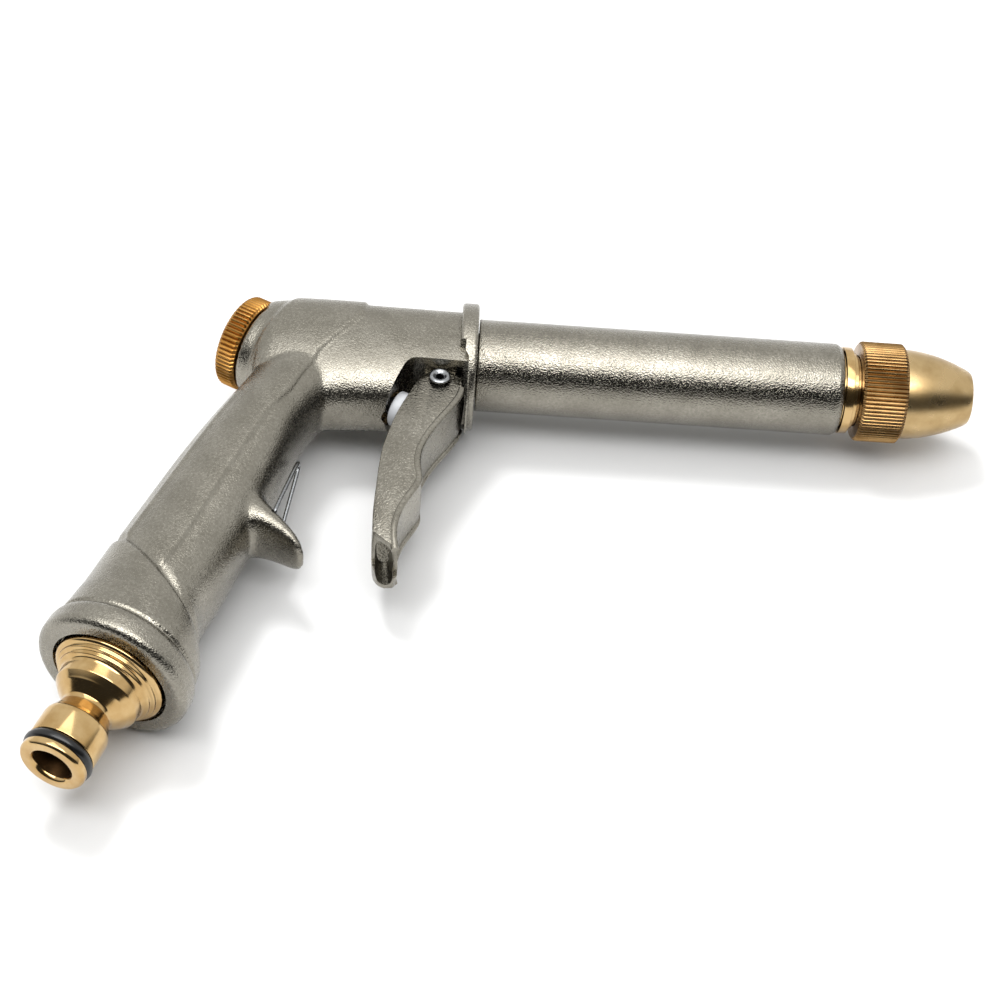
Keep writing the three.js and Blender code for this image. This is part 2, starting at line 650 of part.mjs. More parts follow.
function tailGeometry() {
  const t = tail;
  const end = tailEnd;
  const foot = handle.length;
  const threadTop = foot - base.openingDepth - tailThread.length;
  const ringBack = end - tailRing.start - tailRing.width;
  const lip = base.openingRadius - GAP - 0.3;
  const share = (part) => foot + part * t.length;
  const profile = [
    [t.bore, threadTop], [tailThread.radius, threadTop], [tailThread.radius, foot - base.openingDepth + GAP],
    [lip, foot - base.openingDepth + GAP], [lip, foot + 0.5], [13.1, foot + 0.9], [13.1, share(0.08)],
    [12, share(0.09)], [12, share(0.14)], [10.8, share(0.15)], [10.8, share(0.21)], [9.6, share(0.25)],
    [t.cone, share(0.27)], [t.cone, share(0.31)], [t.waist, share(0.39)], [t.waist, share(0.49)],
    [t.nose - 1, share(0.52)], [t.nose - 0.2, share(0.57)], [t.nose, share(0.61)],
    [t.nose, ringBack], [t.nose - tailRing.depth, ringBack], [t.nose - tailRing.depth, end - tailRing.start],
    [t.nose, end - tailRing.start], [t.nose, end - 0.6], [t.nose - 0.6, end], [t.boreMouth, end],
    [t.bore, end - 0.8],
  ];
  return turned(profile, FINE);
}

function screenGeometry() {
  const inside = tail.bore - GAP;
  const low = handle.length - base.openingDepth - tailThread.length + 2;
  let disc = solid(rod(inside, low, low + 1.2, COARSE));
  for (let i = 0; i < 7; i++) {
    const away = i ? inside * 0.58 : 0;
    const angle = (i / 6) * 2 * Math.PI;
    const hole = rod(0.85, low - 1, low + 3, 8);
    hole.translate(away * Math.cos(angle), 0, away * Math.sin(angle));
    disc = disc.subtract(solid(hole));
  }
  return geometryOf(disc);
}

// ---------------------------------------------------------------- assembly

function group(frame) {
  const made = new THREE.Group();
  frame.decompose(made.position, made.quaternion, made.scale);
  return made;
}

const nozzle = new THREE.Group();
nozzle.name = 'hose_spray_nozzle';
const assembly = new THREE.Group();
nozzle.add(assembly);
assembly.add(piece('body_casting', bodyGeometry(), satinNickel()));

const barrelGroup = group(barrelFrame);
const plugSeal = barrelBore - GAP - 0.75;
const capSeal = threadRadius + GAP;
const spigotSeal = spigot.radius - spigot.grooveDepth + GAP + 0.55;
const spigotMiddle = -spigot.grooveStart - spigot.grooveWidth / 2;
barrelGroup.add(
  piece('barrel_tube', barrelGeometry(), satinNickel()),
  piece('barrel_seal', sealRing(spigotSeal, 0.55, spigotMiddle), rubber()),
  piece('nozzle_fitting', fittingGeometry(), polishedBrass()),
  piece('fitting_seal', sealRing(plugSeal - 0.05, 0.4, plugStart + 6.1), rubber()),
  piece('jet_pin', jetPinGeometry(), polishedBrass()),
  piece('nozzle_seal', sealRing(capSeal + 0.5, 0.45, ringStart + 6.3), rubber()),
  piece('nozzle_cap', nozzleCapGeometry(), satinBrass()),
);

const valveGroup = group(valveFrame);
valveGroup.add(
  piece('valve_stem', stemGeometry(), steel()),
  piece('valve_disc', ring(stem.radius + GAP, stem.discRadius, discBack, discFront), rubber()),
  piece('disc_nut', nutGeometry(), polishedBrass()),
  piece('push_cap', pushCapGeometry(), nylon()),
  piece('gland_bush', bushGeometry(), polishedBrass()),
  piece('stem_seal', sealRing(stem.radius + GAP + 0.55, 0.45, bushMiddle), rubber()),
  piece('valve_spring', springGeometry(), steel()),
  piece('rear_knob', knobGeometry(), polishedBrass()),
  piece('knob_seal', sealRing(mouth.radius - GAP - 0.95, 0.45, knob.plugLength - 2.6), rubber()),
);

const triggerGroup = new THREE.Group();
triggerGroup.position.copy(triggerOrigin);
triggerGroup.add(
  piece('trigger', triggerGeometry(), satinNickel()),
  piece('trigger_rivet', rivetGeometry(), steel()),
);

const latchGroup = new THREE.Group();
latchGroup.position.copy(onGrip(latch.along, latch.across));
latchGroup.add(piece('latch_wire', latchGeometry(), steel()));

const tailGroup = group(gripFrame);
const washerTop = handle.length - base.openingDepth - tailThread.length - tailThread.washerThickness;
const washerEnd = washerTop + tailThread.washerThickness - GAP;
const washerRim = tailThread.radius - 0.4;
const ringMiddle = tailEnd - tailRing.start - tailRing.width / 2;
tailGroup.add(
  piece('hose_tail', tailGeometry(), polishedBrass()),
  piece('tail_seal', sealRing(tail.nose - 0.08, tailRing.wire - 0.3, ringMiddle), rubber()),
  piece('tail_washer', ring(passage.radius + 0.9, washerRim, washerTop, washerEnd), rubber()),
  piece('inlet_screen', screenGeometry(), steel()),
);

assembly.add(barrelGroup, valveGroup, triggerGroup, latchGroup, tailGroup);

// The origin goes to the middle of the footprint, at the lowest point.
nozzle.updateMatrixWorld(true);
const box = new THREE.Box3().setFromObject(assembly, true);
const middle = box.getCenter(spot(0, 0));
assembly.position.set(-middle.x, -middle.y, -box.min.z);

export default nozzle;
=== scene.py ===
"""Looks of a garden hose spray nozzle: a cast pistol-grip body, a long barrel, a brass twist
nozzle, a trigger, a valve with a knurled rear knob, and a quick-connect tail.

Sizes are in millimetres. Outlines are drawn in the maker's frame, whose zero is on the barrel
axis at the front face of the flange, with X forward and Y away from the grip.
"""

import json
import math

import bmesh
import bpy
from mathutils import Matrix, Vector


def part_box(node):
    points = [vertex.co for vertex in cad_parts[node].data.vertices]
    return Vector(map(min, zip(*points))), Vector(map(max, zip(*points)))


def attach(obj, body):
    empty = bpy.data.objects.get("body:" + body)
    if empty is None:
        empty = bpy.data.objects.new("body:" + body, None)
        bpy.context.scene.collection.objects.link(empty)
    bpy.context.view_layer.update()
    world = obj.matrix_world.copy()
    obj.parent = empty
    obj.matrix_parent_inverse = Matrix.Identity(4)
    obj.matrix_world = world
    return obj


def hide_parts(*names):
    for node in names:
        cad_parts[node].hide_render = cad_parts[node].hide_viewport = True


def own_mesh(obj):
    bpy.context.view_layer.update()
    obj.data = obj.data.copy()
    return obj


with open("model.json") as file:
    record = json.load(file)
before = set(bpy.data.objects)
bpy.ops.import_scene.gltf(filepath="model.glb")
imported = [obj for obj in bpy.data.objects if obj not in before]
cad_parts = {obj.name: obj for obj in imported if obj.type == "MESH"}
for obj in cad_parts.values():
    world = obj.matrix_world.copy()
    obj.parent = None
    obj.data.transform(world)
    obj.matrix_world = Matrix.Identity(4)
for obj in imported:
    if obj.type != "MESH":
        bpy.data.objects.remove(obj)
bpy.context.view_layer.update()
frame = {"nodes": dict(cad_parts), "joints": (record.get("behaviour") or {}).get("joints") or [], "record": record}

MM = 0.001
UP = Vector((0, 0, 1))
TURN = 2 * math.pi
SAME_PLACE = 1e-7  # points nearer than this are merged

joints = {joint["name"]: joint for joint in frame["joints"]}
mounts = {mount["name"]: mount for mount in frame["record"]["mounts"]}

# ---------------------------------------------------------------- places taken from the frame

BARREL_LENGTH = 101
barrel_line = Vector(joints["cap_turn"]["pos_m"])
zero = Vector((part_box("barrel_tube")[1][0] - BARREL_LENGTH * MM, barrel_line.y, barrel_line.z))

trigger_pivot = Vector(joints["trigger_pivot"]["pos_m"])
latch_pivot = Vector(joints["latch_swing"]["pos_m"])
valve_back = Vector(joints["knob_turn"]["pos_m"])
valve_axis = -Vector(joints["knob_turn"]["axis"]).normalized()
grip_axis = Vector(mounts["tail_end_face"]["axis"]).normalized()
grip_front = Vector((-grip_axis.y, grip_axis.x, 0))

GRIP_START = -42.3  # where the grip's middle line meets the barrel axis
RIVET_RADIUS = 2.1
LATCH_HOLE_RADIUS = 0.95
PUSH_CAP_END = 49.5  # along the valve's axis, from the knob's seat
PUSH_GAP = 0.3  # between the push cap and the trigger's bar
FACETS_PER_FLUTE = 6


def spot(x, y, z=0):
    """A point of the maker's frame, in the model's metres."""
    return zero + Vector((x, y, z)) * MM


def on_grip(along, across):
    """A point beside the grip's middle line."""
    middle = spot(GRIP_START, 0) + grip_axis * along * MM
    return middle + grip_front * across * MM


def looking(origin, direction):
    """A matrix whose Z runs along a direction, with its X across the nozzle."""
    z = direction.normalized()
    x = UP.copy()
    y = z.cross(x)
    turned = Matrix((x, y, z)).transposed().to_4x4()
    return Matrix.Translation(origin) @ turned


barrel_place = looking(zero, Vector((1, 0, 0)))
valve_place = looking(valve_back, valve_axis)
grip_place = looking(spot(GRIP_START, 0), grip_axis)

# ---------------------------------------------------------------- shaping


def clamp(value):
    """A value kept between 0 and 1."""
    return min(1.0, max(0.0, value))


def ease(value):
    """Rises smoothly from 0 to 1 while its value does."""
    t = clamp(value)
    return t * t * (3 - 2 * t)


def softened(profile, radius=0.3, steps=3):
    """A profile with its inner corners rounded."""
    points = [Vector(point) for point in profile]
    rounded = [points[0]]
    for before, corner, after in zip(points, points[1:], points[2:]):
        back = before - corner
        ahead = after - corner
        reach = min(radius, back.length * 0.45, ahead.length * 0.45)
        start = corner + back.normalized() * reach
        end = corner + ahead.normalized() * reach
        for step in range(steps + 1):
            t = step / steps
            rounded.append(start * (1 - t) ** 2 + corner * 2 * t * (1 - t) + end * t * t)
    rounded.append(points[-1])
    return rounded


def smooth(mesh, sharp):
    """Shades a mesh smooth but for its edges above an angle in degrees."""
    mesh.shade_smooth()
    mesh.set_sharp_from_angle(angle=math.radians(sharp))


def finished(name, shape, sharp=38):
    """A shape as an object at the origin, smooth but for its sharper edges."""
    mesh = bpy.data.meshes.new(name)
    shape.to_mesh(mesh)
    shape.free()
    smooth(mesh, sharp)
    piece = bpy.data.objects.new(name, mesh)
    bpy.context.scene.collection.objects.link(piece)
    return piece


def settle(shape):
    """Marks what a shape already has, so that the next spin leaves it alone."""
    for part in (shape.verts, shape.faces):
        for item in part:
            item.tag = True


def spun(shape, profile, place, facets):
    """Spins a profile of radius and height round a place's Z, into a closed skin."""
    chain = [shape.verts.new((radius * MM, 0, height * MM)) for radius, height in profile]
    edges = [shape.edges.new(pair) for pair in zip(chain, chain[1:])]
    bmesh.ops.spin(
        shape, geom=chain + edges, cent=(0, 0, 0), axis=(0, 0, 1), angle=TURN, steps=facets, use_merge=True
    )
    verts = [vert for vert in shape.verts if not vert.tag]
    bmesh.ops.remove_doubles(shape, verts=verts, dist=SAME_PLACE)
    # The merge drops points, so the list is made again.
    verts = [vert for vert in shape.verts if not vert.tag]
    bmesh.ops.recalc_face_normals(shape, faces=[face for face in shape.faces if not face.tag])
    bmesh.ops.transform(shape, matrix=place, verts=verts)
    settle(shape)


def rod(radius, half):
    """The profile of a plain rod, with its middle at height 0."""
    return [(0, -half), (radius, -half), (radius, half), (0, half)]


def turned(name, profile, place, facets, radius):
    """A turned piece with softly broken edges, from a profile that closes on itself."""
    outline = softened(profile, radius)
    outline.append(outline[0].copy())
    shape = bmesh.new()
    spun(shape, outline, place, facets)
    return finished(name, shape)


def lofted(shape, stations, squareness, sides=56):
    """Skins rounded-box sections. A station: centre, side, reach ahead, reach back, half width."""
    rings = []
    last = len(stations) - 1
    for number, (centre, side, ahead, back, half) in enumerate(stations):
        circle = bmesh.ops.create_circle(
            shape, segments=sides, radius=1, cap_ends=number in (0, last)
        )["verts"]
        for vert in circle:
            c, s = vert.co.x, vert.co.y
            reach = math.copysign(abs(c) ** (2 / squareness), c) * (ahead if c > 0 else back)
            width = math.copysign(abs(s) ** (2 / squareness), s) * half
            vert.co = centre + side * reach * MM + UP * width * MM
        edges = {edge for vert in circle for edge in vert.link_edges}
        rings.append([edge for edge in edges if edge.other_vert(edge.verts[0]) in circle])
    for low, high in zip(rings, rings[1:]):
        bmesh.ops.bridge_loops(shape, edges=low + high)


def in_between(stations, steps=4):
    """Stations joined by a smooth curve through them."""
    rows = [stations[0], *stations, stations[-1]]
    made = []
    for a, b, c, d in zip(rows, rows[1:], rows[2:], rows[3:]):
        for step in range(steps):
            t = step / steps
            made.append(
                tuple(
                    0.5 * (2 * q + (r - p) * t + (2 * p - 5 * q + 4 * r - s) * t * t
                           + (3 * q - p - 3 * r + s) * t ** 3)
                    for p, q, r, s in zip(a, b, c, d)
                )
            )
    made.append(stations[-1])
    return made


def prism(shape, outline, low, high):
    """A flat outline of the maker's frame, made thick across the nozzle."""
    verts = [shape.verts.new(spot(x, y, low)) for x, y in outline]
    face = shape.faces.new(verts)
    made = bmesh.ops.extrude_face_region(shape, geom=[face])["geom"]
    moved = [item for item in made if isinstance(item, bmesh.types.BMVert)]
    bmesh.ops.translate(shape, verts=moved, vec=UP * (high - low) * MM)
    bmesh.ops.recalc_face_normals(shape, faces=shape.faces)


def applied(piece):
    """Turns a piece's modifiers into its mesh."""
    graph = bpy.context.evaluated_depsgraph_get()
    mesh = bpy.data.meshes.new_from_object(piece.evaluated_get(graph))
    piece.modifiers.clear()
    old = piece.data
    piece.data = mesh
    bpy.data.meshes.remove(old)


def joined(piece, tool, operation="DIFFERENCE"):
    """Cuts a tool out of a piece, or joins it on, and throws the tool away."""
    cut = piece.modifiers.new("cut", "BOOLEAN")
    cut.operation = operation
    cut.solver = "EXACT"
    cut.object = tool
    applied(piece)
    bpy.data.objects.remove(tool)


def wire(name, route, radius):
    """A round wire along a smooth route."""
    line = bpy.data.curves.new(name, "CURVE")
    line.dimensions = "3D"
    line.bevel_depth = radius * MM
    line.bevel_resolution = 4
    line.use_fill_caps = True
    path = line.splines.new("NURBS")
    path.points.add(len(route) - 1)
    for point, place in zip(path.points, route):
        point.co = (*place, 1)
    path.order_u = 3
    path.use_endpoint_u = True
    path.resolution_u = 6
    holder = bpy.data.objects.new(name, line)
    bpy.context.scene.collection.objects.link(holder)
    graph = bpy.context.evaluated_depsgraph_get()
    mesh = bpy.data.meshes.new_from_object(holder.evaluated_get(graph))
    bpy.data.objects.remove(holder)
    shape = bmesh.new()
    shape.from_mesh(mesh)
    bmesh.ops.remove_doubles(shape, verts=shape.verts, dist=SAME_PLACE)
    bmesh.ops.recalc_face_normals(shape, faces=shape.faces)
    return finished(name, shape, 60)


def bored(piece, profile, place, facets):
    """Cuts a spun profile out of a piece."""
    tool = bmesh.new()
    spun(tool, profile, place, facets)
    joined(piece, finished("bore", tool))


def cut_flutes(shape, flutes, span, floor, fade, depth):
    """Sinks straight flutes into a shape outside a radius, between two heights."""
    low, high = span
    for vert in shape.verts:
        reach = math.hypot(vert.co.x, vert.co.y) / MM
        if reach > floor and low <= vert.co.z / MM <= high:
            angle = math.atan2(vert.co.y, vert.co.x)
            groove = 1 - abs(math.sin(angle * flutes / 2))
            scale = 1 - depth * groove * clamp((reach - floor) / fade) / reach
            vert.co.x *= scale
            vert.co.y *= scale


# ---------------------------------------------------------------- camera, floor and light


def studio():
    """The camera, the paper floor, three soft lights and the room round them."""
    scene = bpy.context.scene
    scene.view_settings.view_transform = "Standard"

    lens = bpy.data.cameras.new("camera")
    lens.lens = 75.46
    lens.sensor_width = 36
    lens.shift_x = 0.0112
    lens.shift_y = 0.0023
    camera = bpy.data.objects.new("camera", lens)
    camera.location = (-0.02398, -0.35446, 0.42629)
    camera.rotation_euler = [math.radians(angle) for angle in (42.032, -3.457, 2.016)]
    scene.collection.objects.link(camera)
    scene.camera = camera

    ground = bmesh.new()
    bmesh.ops.create_grid(ground, x_segments=1, y_segments=1, size=3)
    bmesh.ops.translate(ground, verts=ground.verts, vec=(0, 0, -0.0002))
    floor = finished("floor", ground)
    floor.data.materials.append(white_paper())

    softboxes = [
        ("front_softbox", (-0.1, -0.45, 1.25), (1.5, 0.5), 14, True),
        ("back_light", (-0.4, 0.55, 1.4), (0.35, 0.35), 17, False),
        ("top_light", (0.1, 0.1, 1.6), (1.6, 0.9), 8, True),
    ]
    for name, place, size, power, shines in softboxes:
        light = bpy.data.lights.new(name, "AREA")
        light.shape = "RECTANGLE"
        light.size, light.size_y = size
        light.energy = power
        lamp = bpy.data.objects.new(name, light)
        lamp.location = place
        lamp.rotation_euler = (-Vector(place)).to_track_quat("-Z", "Y").to_euler()
        lamp.visible_glossy = shines
        scene.collection.objects.link(lamp)

    # The room is pale behind the nozzle and dark low down in front of it.
    world = bpy.data.worlds.new("room")
    scene.world = world
    world.use_nodes = True
    tree = world.node_tree
    shade = tree.nodes["Background"]
    shade.inputs["Strength"].default_value = 1.3
    way = add(tree, "ShaderNodeTexCoord")
    parts = add(tree, "ShaderNodeSeparateXYZ", links={"Vector": way.outputs["Generated"]})
    lift = add(tree, "ShaderNodeMath", links={0: parts.outputs["Z"]}, values={1: 0.9}, operation="MULTIPLY")
    tone = add(tree, "ShaderNodeMath", links={0: lift.outputs[0], 1: parts.outputs["Y"]}, operation="ADD")
    ramp = add(tree, "ShaderNodeValToRGB", links={"Fac": tone.outputs[0]})
    stops = ramp.color_ramp.elements
    stops[0].position, stops[0].color = 0.0, (0.03, 0.03, 0.03, 1)
    stops[1].position, stops[1].color = 0.35, (0.8, 0.8, 0.79, 1)
    tree.links.new(ramp.outputs["Color"], shade.inputs["Color"])


# ---------------------------------------------------------------- materials


def linear(hex_colour):
    """An sRGB hex colour as linear values."""
    channels = [int(hex_colour[i : i + 2], 16) / 255 for i in (1, 3, 5)]
    return [c / 12.92 if c <= 0.04045 else ((c + 0.055) / 1.055) ** 2.4 for c in channels] + [1]


def add(tree, kind, links=None, values=None, **settings):
    """Adds a node with its settings, its sockets' values and its links."""
    made = tree.nodes.new(kind)
    for name, value in settings.items():
        setattr(made, name, value)
    for socket, value in (values or {}).items():
        made.inputs[socket].default_value = value
    for socket, source in (links or {}).items():
        tree.links.new(source, made.inputs[socket])
    return made


def blank(name):
    """A new material, its node tree and its shader."""
    material = bpy.data.materials.new(name)
    material.use_nodes = True
    tree = material.node_tree
    return material, tree, tree.nodes["Principled BSDF"]


def grain(tree, size, detail=2.0):
    """Noise with grains of a size in millimetres."""
    place = add(tree, "ShaderNodeTexCoord")
    return add(
        tree, "ShaderNodeTexNoise", links={"Vector": place.outputs["Object"]},
        values={"Scale": 1 / (size * MM), "Detail": detail, "Roughness": 0.55},
    )


def bumped(tree, shader, height, strength, depth):
    """Lets a texture's height shape the surface, to a depth in millimetres."""
    bump = add(
        tree, "ShaderNodeBump", links={"Height": height},
        values={"Strength": strength, "Distance": depth * MM},
    )
    tree.links.new(bump.outputs["Normal"], shader.inputs["Normal"])


def coloured(tree, shader, source, *stops):
    """Colours a surface along a ramp. A stop: its place from 0 to 1, and its colour."""
    ramp = add(tree, "ShaderNodeValToRGB", links={"Fac": source})
    for element, (place, colour) in zip(ramp.color_ramp.elements, stops):
        element.position = place
        element.color = colour
    tree.links.new(ramp.outputs["Color"], shader.inputs["Base Color"])


def glossed(tree, shader, source, first, last, span=(0.3, 0.7)):
    """Lets a texture's values over a span carry the roughness from one value to another."""
    gloss = add(
        tree, "ShaderNodeMapRange", links={"Value": source},
        values={"From Min": span[0], "From Max": span[1], "To Min": first, "To Max": last},
    )
    tree.links.new(gloss.outputs["Result"], shader.inputs["Roughness"])


def white_paper():
    """White studio paper: an even, matt ground."""
    material, tree, shader = blank("white_paper")
    shader.inputs["Base Color"].default_value = linear("#CBCBCB")
    shader.inputs["Roughness"].default_value = 0.9
    fibre = grain(tree, 4)
    bumped(tree, shader, fibre.outputs["Fac"], 0.02, 0.1)
    return material


def blasted_nickel(name, pit, depth, roughness):
    """Satin nickel over a shot-blasted casting. The blasting leaves small pits that sparkle where
    a highlight meets shade, and the plating is warm and slightly uneven."""
    material, tree, shader = blank(name)
    shader.inputs["Metallic"].default_value = 1.0
    tone = grain(tree, 9, detail=3)
    speck = grain(tree, pit * 1.6, detail=1)
    mixed = add(
        tree, "ShaderNodeMath", links={0: tone.outputs["Fac"], 1: speck.outputs["Fac"]},
        operation="MULTIPLY",
    )
    coloured(tree, shader, mixed.outputs[0], (0.12, linear("#7E7A70")), (0.42, linear("#959187")))
    glossed(tree, shader, speck.outputs["Fac"], roughness - 0.06, roughness + 0.08)
    place = add(tree, "ShaderNodeTexCoord")
    pits = add(
        tree, "ShaderNodeTexVoronoi", links={"Vector": place.outputs["Object"]},
        values={"Scale": 1 / (pit * MM), "Randomness": 1.0}, feature="SMOOTH_F1",
    )
    fine = grain(tree, pit * 0.7, detail=1)
    both = add(
        tree, "ShaderNodeMath", links={0: pits.outputs["Distance"], 1: fine.outputs["Fac"]},
        operation="ADD",
    )
    bumped(tree, shader, both.outputs[0], 1.0, depth)
    return material


TOOL_MARK = 0.12


def turned_brass(name, colour, shade, roughness, depth=0.004):
    """Turned brass. The tool leaves fine rings, and handling leaves faint cloudy tarnish."""
    material, tree, shader = blank(name)
    shader.inputs["Metallic"].default_value = 1.0
    tarnish = grain(tree, 6, detail=4)
    coloured(tree, shader, tarnish.outputs["Fac"], (0.35, linear(shade)), (0.6, linear(colour)))
    glossed(tree, shader, tarnish.outputs["Fac"], roughness + 0.05, roughness - 0.03)
    marks = grain(tree, TOOL_MARK, detail=1)
    bumped(tree, shader, marks.outputs["Fac"], 0.35, depth)
    return material


def moulded(name, colour, roughness, bump_size, depth):
    """A moulded surface: one colour with a faint cloud, and the mould's fine texture."""
    material, tree, shader = blank(name)
    cloud = grain(tree, 3)
    shade = [channel * 0.8 for channel in linear(colour)[:3]] + [1]
    coloured(tree, shader, cloud.outputs["Fac"], (0, shade), (1, linear(colour)))
    shader.inputs["Roughness"].default_value = roughness
    texture = grain(tree, bump_size)
    bumped(tree, shader, texture.outputs["Fac"], 0.5, depth)
    return material


def drawn_steel():
    """Stainless wire and stampings, drawn bright: a clean grey shine with faint scuffs."""
    material, tree, shader = blank("drawn_stainless_steel")
    shader.inputs["Metallic"].default_value = 1.0
    scuff = grain(tree, 0.5, detail=3)
    coloured(tree, shader, scuff.outputs["Fac"], (0, linear("#77797C")), (1, linear("#A9ABAD")))
    glossed(tree, shader, scuff.outputs["Fac"], 0.16, 0.34, span=(0, 1))
    return material


NICKEL_CAST = blasted_nickel("shot_blasted_nickel_casting", pit=0.42, depth=0.075, roughness=0.22)
NICKEL_TUBE = blasted_nickel("shot_blasted_nickel_tube", pit=0.42, depth=0.09, roughness=0.17)
NICKEL_TRIGGER = blasted_nickel("coarse_blasted_nickel_trigger", pit=0.55, depth=0.12, roughness=0.22)
NICKEL_SMOOTH = blasted_nickel("rubbed_satin_nickel", pit=0.5, depth=0.012, roughness=0.3)
BRASS_BRIGHT = turned_brass("polished_turned_brass", "#C5A878", "#B3925F", 0.13)
BRASS_SATIN = turned_brass("satin_turned_brass", "#BDA377", "#AB9064", 0.28, depth=0.008)
BRASS_KNURL = turned_brass("knurled_brass", "#94764D", "#7C5F3A", 0.26)
BRASS_KNOB = turned_brass("knurled_gold_brass", "#AE8145", "#96692F", 0.3)
# Near-black brass for the walls inside the tail's bore: painted shade in the hole.
BRASS_BORE_PAINTED_SHADE = turned_brass("bore_brass_with_painted_shade", "#4A3520", "#2B1E10", 0.5)
RUBBER = moulded("moulded_nitrile_rubber", "#060607", 0.28, 0.4, 0.01)
NYLON = moulded("moulded_white_nylon", "#B4B6B9", 0.4, 0.5, 0.01)
STEEL = drawn_steel()

studio()


def dress(piece, body, material, slot, *nodes):
    """Gives a piece its finish and the body that it moves with, and hides the solids that it stands for."""
    piece.data.materials.clear()
    piece.data.materials.append(material)
    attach(piece, body)
    if nodes:
        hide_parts(*nodes)


# ---------------------------------------------------------------- body casting

PANEL_EDGE = [
    (-31.2, 20), (-31, 8), (-31.2, 3.2), (-35, -2), (-42.3, -11.4), (-46.7, -21.8), (-48.8, -27.3),
    (-53.3, -35.1), (-62, -60), (-70, -84), (-75.7, -97.6), (-80, -110),
]
PANEL_RISE = 0.8
RIDGE = [(-62.1, -27.5), (-66.5, -37), (-83.3, -80.4), (-86, -88)]
SLEEVE_EDGE = [(-95, -74), (-83.7, -82.6), (-75.4, -92.5), (-65.4, -103.8), (-61, -112)]
SLEEVE_RISE = 1.3
SKIN_VOXEL = 0.55


def beside(point, line):
    """Distance from a line of points, more than zero on its left hand."""
    nearest = 1e9
    found = 0.0
    for (ax, ay), (bx, by) in zip(line, line[1:]):
        run = Vector((bx - ax, by - ay))
        away = Vector((point[0] - ax, point[1] - ay))
        along = clamp(away.dot(run) / run.length_squared)
        gap = away - run * along
        if gap.length < nearest:
            nearest = gap.length
            found = math.copysign(gap.length, run.x * away.y - run.y * away.x)
    return found


def body_core():
    """The casting's masses, overlapping, before they are blended."""
    shape = bmesh.new()
    ahead = Vector((0, 1, 0))
    housing = in_between([
        (-60.1, 9.6, 13.6, 9), (-58.5, 12.3, 18, 11.8), (-55, 13.3, 22.2, 13.2), (-46, 13.5, 24.2, 13.7),
        (-32, 13.5, 23.2, 13.7), (-20, 13.4, 22.6, 13.6), (-9, 13.3, 22.2, 13.5), (-1.5, 13.3, 21.6, 13.4),
    ])
    lofted(shape, [(spot(x, 0), ahead, top, bottom, half) for x, top, bottom, half in housing], 2.5)

    grip = in_between([
        (6, 10, 9.5, 11.5), (17.2, 10.4, 11.5, 12.7), (29.5, 8.4, 13, 13.2), (41.8, 9.3, 14.6, 13.5),
        (56.6, 10.8, 15.7, 13.8), (73.8, 12.2, 16.2, 14), (88.6, 12.8, 16.5, 14.4), (98, 12.6, 16.5, 14.9),
        (104, 14.2, 16.4, 15.6), (109, 15.8, 16.6, 16.4), (115.5, 16.9, 17, 17),
    ])
    lofted(shape, [(on_grip(s, 0), grip_front, front, back, half) for s, front, back, half in grip], 2.3)

    rim = [
        (0, 110), (16.6, 110), (17.4, 115.4), (19.5, 115.9), (20, 117.5), (20, 121.6), (18.6, 123),
        (0, 123),
    ]
    rim = softened(rim, 0.7)
    settle(shape)
    spun(shape, rim, grip_place, 96)

    boss = softened([(0, 0.3), (12.2, 0.3), (12.7, 1), (12.9, 6), (12.6, 26), (0, 26)], 0.5)
    spun(shape, boss, valve_place, 96)

    horn = in_between([
        (64.5, 5, 8.5, 9.6), (64.8, 9, 7, 9.4), (65.3, 12.5, 5.2, 9), (66.1, 16, 3.9, 8.2),
        (67.2, 19.6, 2.9, 7.4), (68.4, 22.8, 2.2, 6.4), (69.5, 25.3, 1.4, 4.6), (70.1, 26.4, 0.5, 2),
    ])
    lofted(shape, [(on_grip(s, a), -grip_axis, half, half, width) for s, a, half, width in horn], 2.3, 40)
    return finished("body_shell", shape)


def blend_masses(piece):
    """One skin over the masses, with the soft fillets of a casting where they meet."""
    skin = piece.modifiers.new("skin", "REMESH")
    skin.mode = "VOXEL"
    skin.voxel_size = SKIN_VOXEL * MM
    applied(piece)

    meetings = [
        (spot(-33, -25), 12), (on_grip(60, 13), 7), (on_grip(73, 14), 9), (spot(-60, -24), 7),
    ]
    everywhere = 0.25
    group = piece.vertex_groups.new(name="fillets")
    for vert in piece.data.vertices:
        flat = Vector((vert.co.x, vert.co.y))
        nearness = [
            clamp(1.4 - (flat - centre.xy).length / (reach * MM)) for centre, reach in meetings
        ]
        group.add([vert.index], max([everywhere, *nearness]) if max(nearness) > 0 else 0.02, "REPLACE")
    soften = piece.modifiers.new("fillets", "SMOOTH")
    soften.factor = 0.5
    soften.iterations = 40
    soften.vertex_group = "fillets"
    fair = piece.modifiers.new("fair", "SMOOTH")
    fair.factor = 0.5
    fair.iterations = 3
    applied(piece)
    piece.vertex_groups.clear()


def press_panels(piece):
    """Raises the rear panel and the sleeve at the foot, each with a crisp step at its edge."""
    mesh = piece.data
    normals = [normal.vector.copy() for normal in mesh.vertex_normals]
    for vert, normal in zip(mesh.vertices, normals):
        x, y = [value / MM for value in (vert.co - zero).xy]
        along = (vert.co - spot(GRIP_START, 0)).dot(grip_axis) / MM
        on_valve = (vert.co - valve_back).dot(valve_axis) / MM
        from_panel = -beside((x, y), PANEL_EDGE)
        from_sleeve = -beside((x, y), SLEEVE_EDGE)
        panel = ease((from_panel + 0.55) / 1.1) * ease((on_valve - 4) / 2)
        sleeve = ease((from_sleeve + 0.6) / 1.2)
        lift = PANEL_RISE * panel * (1 - sleeve) + SLEEVE_RISE * sleeve * ease((116 - along) / 1.5)
        crest = beside((x, y), RIDGE)
        lift += 0.35 * math.exp(-((crest / 0.8) ** 2)) * panel * (1 - sleeve)
        lift -= 0.75 * math.exp(-(((from_sleeve + 1.2) / 1.1) ** 2))
        vert.co += normal * lift * MM


